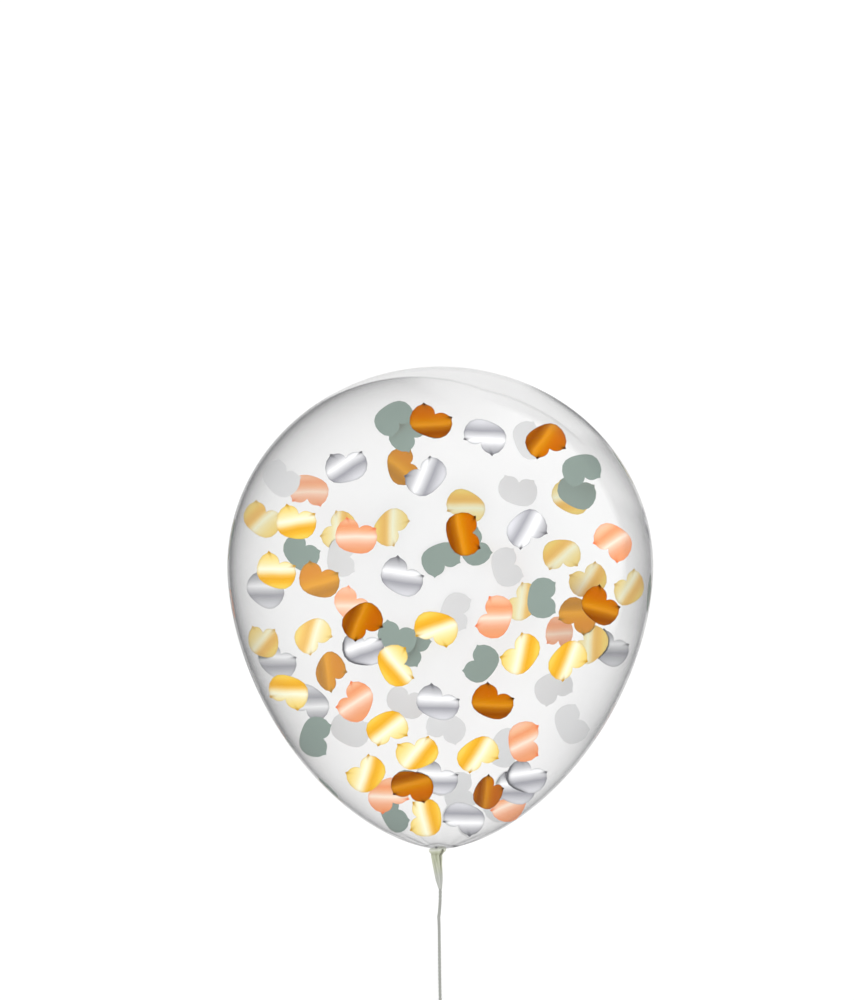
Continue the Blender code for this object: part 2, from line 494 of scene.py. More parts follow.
class Socket:
    """One output of a node. The signs between sockets and numbers add Math nodes."""

    def __init__(self, paint, socket):
        self.paint = paint
        self.socket = socket

    def maths(self, operation, *values):
        return self.paint.node("ShaderNodeMath", {"operation": operation}, dict(enumerate(values)))

    def __add__(self, other):
        return self.maths("ADD", self, other)

    def __radd__(self, other):
        return self.maths("ADD", other, self)

    def __sub__(self, other):
        return self.maths("SUBTRACT", self, other)

    def __rsub__(self, other):
        return self.maths("SUBTRACT", other, self)

    def __mul__(self, other):
        return self.maths("MULTIPLY", self, other)

    def __rmul__(self, other):
        return self.maths("MULTIPLY", other, self)

    def __pow__(self, other):
        return self.maths("POWER", self, other)


def set_stops(ramp, stops):
    while len(ramp.elements) < len(stops):
        ramp.elements.new(1.0)
    for element, (position, colour) in zip(ramp.elements, stops):
        element.position = position
        element.color = (*colour, 1.0)


class Paint:
    """A node material in the making."""

    def __init__(self, name):
        self.material = bpy.data.materials.new(name)
        self.material.use_nodes = True
        self.tree = self.material.node_tree
        self.tree.nodes.clear()

    def node(self, kind, settings=None, sockets=None, out=0):
        """Adds a node, its settings first and then its sockets, and gives back one output.

        Colours are three numbers each.
        """
        made = self.tree.nodes.new(kind)
        for key, value in (settings or {}).items():
            if key == "stops":
                set_stops(made.color_ramp, value)
            else:
                setattr(made, key, value)
        places = {place.identifier: place for place in made.inputs}
        for key, value in (sockets or {}).items():
            place = places.get(key) or made.inputs[key]
            if isinstance(value, Socket):
                self.tree.links.new(value.socket, place)
            else:
                place.default_value = (*value, 1.0) if place.type == "RGBA" else value
        given = {place.identifier: place for place in made.outputs}
        return Socket(self, given.get(out) or made.outputs[out]) if given else None

    def mix(self, factor, first, second):
        """From the first colour to the second."""
        settings = {"data_type": "RGBA", "clamp_factor": True}
        sockets = {"Factor_Float": factor, "A_Color": first, "B_Color": second}
        return self.node("ShaderNodeMix", settings, sockets, out="Result_Color")

    def attribute(self, name):
        return self.node("ShaderNodeAttribute", {"attribute_name": name}, out="Fac")

    def uv(self, name):
        return self.node("ShaderNodeUVMap", {"uv_map": name})

    def object_place(self):
        return self.node("ShaderNodeTexCoord", out="Object")

    def scaled(self, place, scale):
        return self.node("ShaderNodeMapping", None, {"Vector": place, "Scale": scale})

    def part(self, place, letter):
        """One of a place's three numbers."""
        return self.node("ShaderNodeSeparateXYZ", None, {0: place}, out=letter)

    def noise(self, place, scale, detail=2.0):
        sockets = {"Vector": place, "Scale": scale, "Detail": detail}
        return self.node("ShaderNodeTexNoise", None, sockets, out="Fac")

    def ramped(self, value, low, high, at_low, at_high):
        """The value carried smoothly from one span to another."""
        settings = {"interpolation_type": "SMOOTHSTEP"}
        spans = {"From Min": low, "From Max": high, "To Min": at_low, "To Max": at_high}
        return self.node("ShaderNodeMapRange", settings, {"Value": value, **spans})

    def bump(self, height, distance, strength):
        sockets = {"Height": height, "Distance": distance, "Strength": strength}
        return self.node("ShaderNodeBump", None, sockets)

    def principled(self, sockets):
        return self.node("ShaderNodeBsdfPrincipled", None, sockets)

    def mixed(self, factor, first, second):
        """From the first shader to the second."""
        return self.node("ShaderNodeMixShader", None, {0: factor, 1: first, 2: second})

    def finished(self, shader):
        self.node("ShaderNodeOutputMaterial", None, {"Surface": shader})
        return self.material


# The film's least haze, the grey of the painted shade at its throat, and how much it shines at its
# edge
LEAST_HAZE = 0.012
THROAT_SHADE_HAZE = 0.9
EDGE_SHINE = 0.03


def film_paint(sizes):
    """Clear film: light passes straight through it, it greys towards its edge and shines softly.

    The body has a wide grey, with a painted softbox reflection on its right shoulder that clears it
    inside a soft edge, and a narrow dark one at the very edge. Both are painted stronger on the
    left as shade, and thinner at the crown, the throat and the outermost edge as painted light.
    Ahead of a faint painted dark line, the crown has a painted highlight, a pale crescent with only
    a thin grey.
    Painted shade at the throat, where the film is creased and meets the collar, adds its own grey.
    """
    paint = Paint("clear_film")
    ramped = paint.ramped
    facing = paint.node("ShaderNodeLayerWeight", None, {"Blend": 0.5}, out="Facing")
    place = paint.object_place()
    across = paint.part(place, "X")
    along = paint.part(place, "Y")

    # Painted shade: the grey grows stronger towards -X, as if the light came from +X, and painted
    # light thins it ahead of the crown's right shoulder
    wide = facing**2.5 * (1.0 - across * 0.74) * (0.25 + 0.07 * paint.noise(place, 9.0))
    wide = wide * ramped(along + across * 0.6, 0.148, 0.158, 1.0, 0.7)
    # Painted reflection of a softbox on the right shoulder: the grey clears inside its soft edge
    # and thickens in a strip just outside it
    window_reflection = ramped(across, 0.02, 0.06, 0.0, 0.7) * ramped(along, -0.012, 0.008, 0.0, 1.0)
    step = ramped(facing, 0.47, 0.53, -1.0, 0.6) - ramped(facing, 0.74, 0.84, 0.0, 0.6)
    wide = wide * (1.0 + window_reflection * step)
    # The narrow grey at the very edge has painted shade too, much stronger towards -X
    narrow = facing**10.0 * (1.0 - across * 2.03) * 0.88
    # Painted light: less grey at the outermost edge, towards the throat and at the crown
    rim_light = ramped(facing, 0.825, 0.905, 1.0, 0.25)
    throat_light = ramped(along, -0.095, -0.065, 0.76, 1.0)
    crown_light = ramped(along + across * 0.3, 0.152, 0.172, 1.0, 0.45)

    # Painted highlight: a pale crescent at the crown, where only a thin grey stays, bounded inside
    # by a faint painted dark line
    slope = 0.68 - across * 2.6
    beyond = facing - slope.maths("MAXIMUM", slope, 0.605)
    ahead = ramped(along + across * 0.15, 0.130, 0.145, 0.0, 1.0)
    crescent_highlight = ahead * ramped(beyond, -0.012, 0.012, 0.0, 1.0)
    crescent_highlight_line = ahead * ramped(beyond, -0.030, -0.005, 0.0, 0.04)
    crescent_highlight_grey = narrow * ramped(across, 0.048, 0.09, 0.0, 1.0) + ramped(facing, 0.78, 0.88, 0.046, 0.066)

    body = (wide + narrow) * crown_light * (rim_light * throat_light) + crescent_highlight_line
    # Painted shade at the throat adds its own grey
    haze = body * (1.0 - crescent_highlight) + crescent_highlight_grey * crescent_highlight + LEAST_HAZE + paint.attribute("gather") * THROAT_SHADE_HAZE
    clear = paint.node("ShaderNodeBsdfTransparent", None, {"Color": WHITE})
    grey = paint.principled(
        {"Base Color": sizes.film_colour, "Roughness": 0.3, "Specular IOR Level": 0.0}
    )
    shine = paint.node("ShaderNodeBsdfGlossy", None, {"Color": WHITE, "Roughness": 0.06})
    film = paint.mixed(haze, clear, grey)
    return paint.finished(paint.mixed(facing**4.0 * EDGE_SHINE, film, shine))


# How much painted crease shade the neck gets at its two end points
END_CREASE_SHADES = (0.5, 0.8)

# Latex at the collar's lip and where it is drawn out thin, painted shade in the creases where it is
# thin, and the darkest painted shade where that shade runs deepest
LIP_COLOUR = (0.62, 0.63, 0.56)
THIN_COLOUR = (0.43, 0.44, 0.41)
THIN_CREASE_SHADE_COLOUR = (0.30, 0.31, 0.28)
FOLD_SHADE_COLOUR = (0.11, 0.11, 0.07)


def latex_paint(sizes):
    """Gathered latex: cream, with painted shade between the pleats and darkest beside the collar,
    and fine streaks along the neck.
    """
    paint = Paint("gathered_latex")
    streaks = paint.noise(paint.scaled(paint.object_place(), (900.0, 120.0, 900.0)), 1.0, 3.0)
    # Painted shade: darker between the pleats, darkest beside the collar
    crease = paint.attribute("crease")
    lip = paint.ramped(paint.attribute("behind"), 0.0008, 0.0022, 1.0, 0.0)
    thin = paint.ramped(paint.attribute("behind"), 0.008, 0.022, 0.0, 1.0)
    latex = paint.mix(thin, paint.mix(lip, sizes.latex_colour, LIP_COLOUR), THIN_COLOUR)
    crease_shaded = paint.mix(thin, sizes.crease_shade_colour, THIN_CREASE_SHADE_COLOUR)
    shade = paint.mix((crease * 0.8 + (streaks - 0.5) * 0.5) * (1.0 - lip * 0.7), latex, crease_shaded)
    sockets = {
        "Base Color": paint.mix(paint.ramped(crease, 1.1, 1.5, 0.0, 1.0), shade, FOLD_SHADE_COLOUR),
        "Roughness": 0.30 + streaks * 0.2,
        "Normal": paint.bump(streaks, 0.0002, 0.4),
    }
    return paint.finished(paint.principled(sockets))


def string_paint(sizes):
    """Twisted fibres: fine slanting lines on the plies, darker in the grooves between them."""
    paint = Paint("twisted_string")
    fibres = paint.noise(paint.scaled(paint.uv("along"), (8.0, 3.0, 1.0)), 2.2, 3.0)
    fuzz = paint.noise(paint.object_place(), 900.0)
    light = tuple(min(1.0, part * 1.35) for part in sizes.colour)
    dark = tuple(part * 0.6 for part in sizes.colour)
    sockets = {
        "Base Color": paint.mix(fibres * 0.7 + fuzz * 0.5 - 0.1, dark, light),
        "Roughness": 0.75 + fuzz * 0.2,
        "Normal": paint.bump(fibres, 0.0002, 0.6),
    }
    return paint.finished(paint.principled(sockets))


# Each foil's painted reflections, stripes of light and dark across a flake, from the side where
# they start
FOIL_REFLECTION_BANDS = {
    "gold": (
        (0.00, (0.86, 0.60, 0.11)),
        (0.20, (0.87, 0.68, 0.24)),
        (0.33, (0.88, 0.77, 0.40)),
        (0.45, (0.90, 0.90, 0.70)),
        (0.53, (0.89, 0.74, 0.40)),
        (0.60, (0.85, 0.51, 0.10)),
        (0.67, (0.79, 0.40, 0.025)),
        (0.76, (0.84, 0.46, 0.035)),
        (0.87, (0.87, 0.61, 0.10)),
        (1.00, (0.84, 0.62, 0.15)),
    ),
    "copper": (
        (0.00, (0.48, 0.14, 0.001)),
        (0.25, (0.49, 0.115, 0.000)),
        (0.40, (0.52, 0.145, 0.000)),
        (0.50, (0.57, 0.20, 0.001)),
        (0.58, (0.63, 0.25, 0.012)),
        (0.67, (0.40, 0.125, 0.002)),
        (0.80, (0.25, 0.055, 0.000)),
        (1.00, (0.48, 0.14, 0.001)),
    ),
    "silver": (
        (0.00, (0.20, 0.20, 0.22)),
        (0.14, (0.36, 0.36, 0.38)),
        (0.26, (0.54, 0.54, 0.56)),
        (0.40, (0.93, 0.93, 0.94)),
        (0.50, (0.63, 0.63, 0.65)),
        (0.63, (0.33, 0.33, 0.36)),
        (0.69, (0.40, 0.40, 0.43)),
        (0.75, (0.50, 0.50, 0.53)),
        (0.88, (0.68, 0.68, 0.71)),
        (1.00, (0.72, 0.72, 0.74)),
    ),
    "rose": (
        (0.00, (0.82, 0.52, 0.38)),
        (0.14, (0.81, 0.46, 0.28)),
        (0.27, (0.79, 0.31, 0.145)),
        (0.36, (0.81, 0.38, 0.20)),
        (0.44, (0.82, 0.50, 0.34)),
        (0.52, (0.86, 0.72, 0.60)),
        (0.59, (0.84, 0.55, 0.40)),
        (0.70, (0.79, 0.39, 0.24)),
        (0.82, (0.76, 0.33, 0.165)),
        (1.00, (0.80, 0.32, 0.15)),
    ),
}

# Darker foil at a flake's nubs and along its rim, and in the painted shade along some rims
TIP_COLOURS = {
    "gold": (0.55, 0.30, 0.02),
    "copper": (0.05, 0.014, 0.001),
    "silver": (0.13, 0.13, 0.14),
    "rose": (0.75, 0.20, 0.08),
}

# How far, and to what, a foil's colours are painted when it is seen through the whole balloon:
# painted haze, paler for gold, copper and rose, and painted shade, darker for silver
FAR_PAINTED_VEIL = 0.30
FAR_HAZE_AND_SHADE_COLOURS = {
    "gold": (0.66, 0.60, 0.42),
    "copper": (0.95, 0.60, 0.18),
    "silver": (0.34, 0.34, 0.34),
    "rose": (0.85, 0.55, 0.42),
}


def foil_paint(foil, sizes):
    """Foil with painted reflections as soft straight stripes across each flake, darker at the rim,
    painted shade on some rims, painted haze and shade on the far flakes, and a matt back.
    """
    paint = Paint(foil + "_foil")
    # Painted reflections: stripes of light and dark across the flake, laid along its UV map
    across = paint.part(paint.uv("bands"), "Y")
    ripple = paint.noise(paint.object_place(), 70.0)
    places = {"Fac": across + (ripple - 0.5) * 0.06}
    bands = paint.node("ShaderNodeValToRGB", {"stops": FOIL_REFLECTION_BANDS[foil]}, places, out="Color")
    rim = paint.attribute("edge")
    edged = paint.mix(rim**16.0 * 0.5, bands, TIP_COLOURS[foil])
    # Darker nubs, and painted shade along a stretch of some flakes' rims
    marks = rim**5.0 * paint.attribute("nub") * 2.2 + rim**12.0 * paint.attribute("roll") * 3.0
    tipped = paint.mix(marks, edged, TIP_COLOURS[foil])
    # Painted haze and shade: a far flake's colours are painted towards its foil's far colour
    haze_painted = paint.mix(paint.attribute("veil"), tipped, FAR_HAZE_AND_SHADE_COLOURS[foil])
    back = sizes.back_dark if foil in ("gold", "copper") else sizes.back_pale
    mask = paint.attribute("foil")
    sockets = {
        "Base Color": paint.mix(mask, back, haze_painted),
        "Metallic": mask * 0.97,
        "Roughness": 0.62 - mask * 0.28,
        "Normal": paint.bump(ripple, 0.0006, 0.25),
    }
    return paint.finished(paint.principled(sockets))


# The bubble


def widest_y(sizes):
    return CROWN_Y - sizes.crown_height


def throat_y(sizes):
    return widest_y(sizes) - sizes.body_length


def throat_share(sizes):
    """How far down the taper's curve the collar cuts it."""
    collar_share = sizes.collar_diameter / (2 * RADIUS)
    return (1.0 - collar_share ** (1.0 / sizes.throat_power)) ** (1.0 / sizes.shoulder_power)


def bubble_radius(sizes, y):
    """The bubble's radius at y.

    Ahead of the widest ring it is half an ellipse, R sqrt(1 - a^2). Behind it is
    R (1 - d^shoulder)^throat, with d from 0 at the widest ring to the collar's share at the throat.
    """
    from_widest = y - widest_y(sizes)
    ahead = np.clip(from_widest / sizes.crown_height, 0.0, 1.0)
    behind = np.clip(-from_widest / sizes.body_length, 0.0, 1.0) * throat_share(sizes)
    taper = (1.0 - behind**sizes.shoulder_power) ** sizes.throat_power
    return RADIUS * np.sqrt(1.0 - ahead**2) * taper


def bubble_slope(sizes, y):
    """How fast the bubble's radius grows with y."""
    rise = bubble_radius(sizes, y + SLOPE_STEP) - bubble_radius(sizes, y - SLOPE_STEP)
    return rise / (2 * SLOPE_STEP)


def settled(z, sizes):
    """Height eased onto the floor over the depth d: 0 to -d, (z + d)^2 / 4d to +d, and then z."""
    depth = sizes.rest_depth * SETTLE_SHARE
    return np.where(z > depth, z, np.clip(z + depth, 0.0, None) ** 2 / (4.0 * depth))


def bubble_rings(sizes, crown_steps=54, body_steps=96, around=176, pole=0.01):
    """Rings round the axis from crown to throat, settled underneath.

    Near the throat the radius is multiplied by 1 - depth (1 + cos(pleats p + 0.7 sin 3p)) / 2.
    """
    turn = np.linspace(pole, math.pi / 2, crown_steps)
    crown = widest_y(sizes) + sizes.crown_height * np.cos(turn)
    last = throat_share(sizes)
    down = np.sin(np.linspace(0.0, math.asin(last), body_steps))[1:]
    y = np.concatenate([crown, widest_y(sizes) - sizes.body_length * down / last])
    angle = once_round(around)
    gathered = ease(1.0 - (y - throat_y(sizes)) / sizes.pleat_reach)[:, None]
    pleat = 0.5 + 0.5 * np.cos(sizes.pleats * angle + 0.7 * np.sin(3 * angle))
    radius = bubble_radius(sizes, y)[:, None] * (1.0 - sizes.pleat_depth * gathered * pleat)
    return np.stack(
        [
            radius * np.cos(angle),
            np.broadcast_to(y[:, None], radius.shape),
            settled(AXIS_HEIGHT + radius * np.sin(angle), sizes),
        ],
        axis=2,
    )


def throat_shade_marks(points, sizes):
    """Painted shade on the upper side of the film at the throat, from 0 to 1.

    A painted dark mark beside the neck, where the collar's shade falls, and a tick above it are
    bells, and a thin painted line arches over both as a parabola.
    """
    x, y, z = points.T
    behind = y - throat_y(sizes)
    fold_shade = bell((x - 0.0100 + 0.9 * (behind - 0.0016)) / 0.0012) * bell((behind - 0.0018) / 0.0014)
    tick = bell((x + 0.0026) / 0.0007) * bell((behind - 0.0013) / 0.0010)
    arch = 0.0050 - 0.0035 * ((x + 0.0015) / 0.0092) ** 2
    line = bell((behind - arch) / 0.0007) * ease((0.0105 - np.abs(x + 0.0015)) / 0.003)
    upper = ease((z - AXIS_HEIGHT) / 0.004)
    return upper * np.clip(0.8 * fold_shade + 0.8 * tick + 0.22 * line, 0.0, 1.0)


def make_film(sizes):
    mesh = closed_skin("film", bubble_rings(sizes))
    points = np.empty(len(mesh.vertices) * 3, np.float32)
    mesh.vertices.foreach_get("co", points)
    # Painted shade on the film's upper side at the throat
    set_attribute(mesh, "gather", throat_shade_marks(points.reshape(-1, 3), sizes))
    film = add_piece("film", mesh, film_paint(sizes))
    wall = film.modifiers.new("wall", "SOLIDIFY")
    wall.thickness = sizes.wall
    wall.offset = -1.0
    return film


# How far the neck starts ahead of the throat and ends behind the tail's tip
NECK_AHEAD = 0.0008
NECK_BEHIND = 0.0006

# The neck's pleats: their depth, and for both sets their count, twist, start and share
NECK_PLEAT_DEPTH = 0.085
NECK_PLEATS = ((9, 260.0, 0.0, 0.6), (5, -140.0, 1.0, 0.4))


def make_neck(sizes, steps=110, around=72):
    """The rolled collar, the gathered sleeve and the tail drawn out of it.

    The radius at the distance s behind the throat runs smoothly through a few stations, and is
    multiplied by 1 + depth cos(pleats p + twist s + start), pleats that turn slowly round the neck,
    flat at the collar's bead. The middle leans to one side and comes back.
    """
    length = throat_y(sizes) - TAIL_TIP_Y + NECK_BEHIND
    s = np.linspace(-NECK_AHEAD, length, steps)
    bead = sizes.collar_length * 0.42
    collar_end = sizes.collar_length
    sleeve_end = collar_end + sizes.sleeve_length
    tail = length - sleeve_end
    collar, sleeve, tip = sizes.collar_diameter, sizes.tail_diameter, sizes.tip_diameter
    stations = (
        (-NECK_AHEAD, 0.30 * collar),
        (-0.0002, 0.50 * collar),
        (bead * 0.6, 0.54 * collar),
        (bead * 1.5, 0.50 * collar),
        (bead * 2.1, 0.40 * collar),
        (collar_end + 0.0008, 0.58 * sleeve),
        (collar_end + 0.0030, 0.565 * sleeve),
        (sleeve_end, 0.49 * sleeve),
        (sleeve_end + 0.30 * tail, 0.43 * sleeve),
        (sleeve_end + 0.65 * tail, 0.355 * sleeve),
        (length - 0.0010, 0.46 * tip),
        (length, 0.40 * tip),
    )
    leans = (
        (0.0, -0.0016),
        (0.0045, -0.0025),
        (0.009, -0.0021),
        (0.015, -0.0014),
        (0.020, -0.0008),
        (length, 0.0),
    )
    radius = smoothed(np.interp(s, *zip(*stations)))
    lean = smoothed(np.interp(s, *zip(*leans)))
    s, radius, lean = s[:, None], radius[:, None], lean[:, None]
    angle = once_round(around)
    slack = 0.25 + 0.75 * ease((s - bead * 1.5) / 0.003)
    wave = sum(
        share * np.cos(count * angle + twist * s + start)
        for count, twist, start, share in NECK_PLEATS
    )
    folded = radius * (1.0 + NECK_PLEAT_DEPTH * slack * wave)
    slant = 0.0006 * np.cos(angle) * ease(1.0 - s / 0.004)
    rings = [
        folded * np.cos(angle) + lean,
        throat_y(sizes) - s + slant,
        AXIS_HEIGHT + folded * np.sin(angle),
    ]
    mesh = closed_skin("neck", np.stack(rings, axis=2))
    # Painted shade for the latex: darker between the pleats, along a line on the upper right that
    # is darkest near the collar, and in a ring where the collar ends
    fold_shade = bell((angle - 0.88 + 60.0 * (s - 0.002) * (s < 0.004)) / 0.22)
    fold_shade = fold_shade * np.interp(s, (0.0, 0.0008, 0.003, 0.012, length), (0.0, 1.6, 1.3, 0.6, 0.2))
    crease = np.clip(0.38 - 0.55 * wave * slack, 0.0, 1.0) + fold_shade
    crease = crease + 0.5 * bell((s - collar_end) / 0.0009)
    crease = np.clip(crease, 0.0, 1.5).ravel()
    set_attribute(mesh, "crease", np.concatenate([crease, END_CREASE_SHADES]))
    set_attribute(mesh, "behind", np.concatenate([np.repeat(s, around), [0.0, length]]))
    return add_piece("neck", mesh, latex_paint(sizes))


# Confetti

# A flake's outline, in shares of its disc's radius and in angles from its notch
LOBE_CUT = 0.72
NOTCH_DIP = 0.335
NOTCH_WIDTH = 0.32
BASE_CUT = 0.82
BASE_TURN = math.radians(172)
CORNER_POWER = 5.0
NUB_HEIGHT = 0.11
NUB_TURN = math.radians(49)
NUB_WIDTH = math.radians(3.0)
# The turn that places the painted shade along some flakes' rims
ROLL_SHADE_TURN = math.radians(140)


def flake_outline(angle):
    """A flake's radius at the angle a from its notch, as a share of its disc's.

    The disc is cut straight at the base, a little off the side opposite the notch, and at the
    lobes, where the cut dips into the notch: lobe cut - dip exp(-(tan a / width)^1.3). Round
    corners join the three, as (1 + lobes^-power + base^-power)^(-1 / power), and a narrow bell is
    the nub on each lobe.
    """
    a = np.abs(angle)
    dip = NOTCH_DIP * np.exp(-((np.tan(np.minimum(a, 1.2)) / NOTCH_WIDTH) ** 1.3))
    lobes = (LOBE_CUT - dip) / np.maximum(np.cos(a), 0.2)
    base = BASE_CUT / np.maximum(np.cos(angle - BASE_TURN), 0.2)
    corners = 1.0 + lobes**-CORNER_POWER + base**-CORNER_POWER
    return corners ** (-1.0 / CORNER_POWER) + NUB_HEIGHT * nub_at(angle)


def nub_at(angle):
    """1 at each nub, falling off as a narrow bell."""
    return bell((np.abs(angle) - NUB_TURN) / NUB_WIDTH)


def roll_shade_at(angle):
    """1 along the stretch of edge that gets painted shade, eased to 0 at both its ends."""
    return ease((np.cos(angle + ROLL_SHADE_TURN) - 0.26) / 0.5)


# Where a flake's shading breaks, and the angles of its outline's points, close together at the nub
SHARP_ANGLE = math.radians(40)
HALF_TURNS = np.radians(
    [0, 6, 12, 19, 27, 36, 43, 46.5, 49, 51.5, 56, 70, 88, 106, 124, 141, 160, 180]
)
TURNS = np.concatenate([HALF_TURNS, -HALF_TURNS[-2:0:-1]])


def image_direction(degrees):
    """The floor direction that points that many degrees clockwise from up in the photograph."""
    turn = math.radians(degrees)
    return np.array([math.sin(turn), math.cos(turn), 0.0])


class Flake:
    """One flake: its wall is 1 above and -1 below, its foil faces out for 1 and in for -1, its
    painted haze and shade is how far its colours are painted towards its foil's far colours, and
    its turns come in degrees. Its axes are the directions of its notch, its side and its outward
    normal.
    """

    def __init__(self, foil, wall, facing, veil, notch, start, swing=0.0):
        self.foil = foil
        self.wall = wall
        self.facing = facing
        self.veil = veil
        self.notch = notch
        self.start = start
        self.swing = math.radians(swing)
        self.roll_shaded = False
        self.middle = None
        self.axes = None

    def lean(self, normal, limit):
        """Turns to the wall's normal, leaning by little more than the limit, and by its swing."""
        tilt = math.atan2(math.hypot(normal[0], normal[1]), abs(normal[2]))
        kept = limit * math.tanh(tilt / limit)
        flat = unit(np.array([normal[0], normal[1], 0.0]) + 1e-12)
        x, y, rise = flat[0] * math.sin(kept), flat[1] * math.sin(kept), math.cos(kept)
        turned = x * math.cos(self.swing) + rise * math.sin(self.swing)
        rise = rise * math.cos(self.swing) - x * math.sin(self.swing)
        outward = np.array([turned, y, self.wall * rise])
        notch = image_direction(self.notch)
        notch = unit(notch - (notch @ outward) * outward)
        self.axes = np.stack([notch, np.cross(notch, outward), outward])

    def points(self, sizes, shares=(1.0,)):
        """Points of the curled flake on rings that are these shares of its outline."""
        radius = sizes.flake_radius * flake_outline(TURNS)[None, :] * np.array(shares)[:, None]
        drop = -(radius**2) / (2 * sizes.curl)
        local = np.stack([radius * np.cos(TURNS), radius * np.sin(TURNS), drop], axis=2)
        return self.middle + local.reshape(-1, 3) @ self.axes

    def height_under(self, sizes, points):
        """The flake's height towards its wall at each point's place, or infinity beside it."""
        notch, side, outward = self.axes
        flat = points - self.middle
        rise = -(outward[0] * flat[:, 0] + outward[1] * flat[:, 1]) / outward[2]
        on_plane = np.column_stack([flat[:, :2], rise])
        along = on_plane @ notch
        beside = on_plane @ side
        reach = np.hypot(along, beside)
        outline = sizes.flake_radius * flake_outline(np.arctan2(beside, along))
        inside = reach < GROWN_OUTLINE * outline
        height = self.wall * (self.middle[2] + rise) - reach**2 / (2 * sizes.curl)
        return np.where(inside, height, np.inf)


def wall_height(bubble, points, wall, margin):
    """How far above or below the axis a flake may come at each point's place."""
    radius = bubble_radius(bubble, points[:, 1])
    inner = np.sqrt(np.clip((radius - margin) ** 2 - points[:, 0] ** 2, 0.0, None))
    if wall > 0:
        return inner
    outer = np.sqrt(np.clip(radius**2 - points[:, 0] ** 2, 0.0, None))
    return np.minimum(inner, AXIS_HEIGHT - settled(AXIS_HEIGHT - outer, bubble) - margin)


def ray_through(stage, column, row):
    """The camera's ray through a pixel of the photograph: travel for each metre down."""
    step = FILM_BACK / stage.lens / PHOTO_HEIGHT
    return np.array([(column - PHOTO_WIDTH / 2) * step, -(row - PHOTO_HEIGHT / 2) * step, -1.0])


def place_flake(flake, column, row, earlier, bubble, sizes, stage):
    """Puts a flake on the camera's ray through a pixel, against its wall or the earlier flakes.

    The place on the wall is found by halving the span of heights. The flake then leans with the
    wall and moves along the ray until no point of it is nearer to the wall, or to an earlier
    flake, than the gap.
    """
    camera = np.array(stage.camera_place)
    ray = ray_through(stage, column, row)
    margin = bubble.wall + sizes.gap
    near, far = 0.0, RADIUS
    for _ in range(HALVINGS):
        height = (near + far) / 2
        middle = camera + ray * (camera[2] - AXIS_HEIGHT - flake.wall * height)
        if height < wall_height(bubble, middle[None], flake.wall, margin)[0]:
            near = height
        else:
            far = height
    x, y, z = middle
    normal = np.array([x, -bubble_radius(bubble, y) * bubble_slope(bubble, y), z - AXIS_HEIGHT])
    flake.middle = middle
    flake.lean(unit(normal), sizes.tilt_limit)
    shares = (0.0, 0.5, 1.0)
    for turn in range(PASSES):
        points = flake.points(sizes)
        half_width = bubble_radius(bubble, points[:, 1]) - margin
        over = np.abs(points[:, 0]) - WIDTH_SHARE * half_width
        flake.middle[0] -= math.copysign(max(over.max(), 0.0), flake.middle[0])
        points = flake.points(sizes, shares)
        heights = flake.wall * points[:, 2]
        walls = flake.wall * AXIS_HEIGHT + wall_height(bubble, points, flake.wall, margin)
        spare = (walls - heights).min()
        for other in earlier:
            apart = np.hypot(*(other.middle - flake.middle)[:2])
            if apart < CLEAR_RADII * sizes.flake_radius:
                theirs = other.points(sizes, shares)
                mine = flake.height_under(sizes, theirs)
                over_mine = np.where(np.isinf(mine), np.inf, flake.wall * theirs[:, 2] - mine)
                under_theirs = other.height_under(sizes, points) - heights
                spare = min(spare, min(over_mine.min(), under_theirs.min()) - sizes.gap)
        travel = spare if turn < FREE_PASSES else min(spare, 0.0)
        flake.middle = flake.middle - ray * travel * flake.wall
    return flake


def flank_flakes(bubble, sizes):
    """The flakes that cling upright to the balloon's sides, square to its film."""
    flakes = []
    for foil, hand, y, below, turn in FLANK_FLAKES:
        angle = math.radians(below)
        radius = bubble_radius(bubble, y)
        lean = -bubble_slope(bubble, y)
        outward = unit(np.array([hand * math.cos(angle), lean, -math.sin(angle)]))
        up = unit(np.array([0.0, 0.0, 1.0]) - outward[2] * outward)
        across = np.cross(up, outward)
        notch = up * math.cos(math.radians(turn)) + across * math.sin(math.radians(turn))
        flake = Flake(foil, 1, 1, 0.0, turn, turn + FLANK_BANDS_OFF_NOTCH)
        flake.axes = np.stack([notch, np.cross(notch, outward), outward])
        height = AXIS_HEIGHT - radius * math.sin(angle)
        flake.middle = np.array([hand * radius * math.cos(angle), y, height])
        for _ in range(FREE_PASSES):
            x, y_here, z = flake.points(sizes).T
            room = bubble_radius(bubble, y_here) - np.hypot(x, z - AXIS_HEIGHT)
            flake.middle = flake.middle + outward * (room.min() - bubble.wall - sizes.gap)
        flakes.append(flake)
    return flakes


def placed_flakes(bubble, sizes, stage):
    """Every flake in its place, wall by wall, the nearest to the wall first.

    Every so many upper flakes have a partner on the lower wall, which shows only from the side.
    """
    upper = [
        (Flake(foil, 1, 1, FAR_PAINTED_VEIL * ((x, y) in HAZE_PAINTED_FOILS), *turns), x, y)
        for foil, x, y, *turns in UPPER_FLAKES
    ]
    lower = [
        (Flake(foil, -1, 1, 0.0, notch, notch + BANDS_OFF_NOTCH, *swing), x, y)
        for foil, x, y, notch, *swing in LOWER_FACE_DOWN
    ]
    lower += [
        (Flake(foil, -1, -1, FAR_PAINTED_VEIL, *turns), x, y) for foil, x, y, *turns in LOWER_FACE_UP
    ]
    lower += [
        (Flake(foil, -1, 1, 0.0, notch, notch - BANDS_OFF_NOTCH), x, y)
        for foil, x, y, notch, *_ in UPPER_FLAKES[:: sizes.backed_share]
    ]
    done = flank_flakes(bubble, sizes)
    for wall in (upper, lower[::-1]):
        stack = []
        for flake, x, y in wall:
            flake.roll_shaded = flake.wall > 0 and (x, y) in ROLL_SHADED_RIMS
            stack.append(place_flake(flake, x, y, stack, bubble, sizes, stage))
        done += stack
    return done


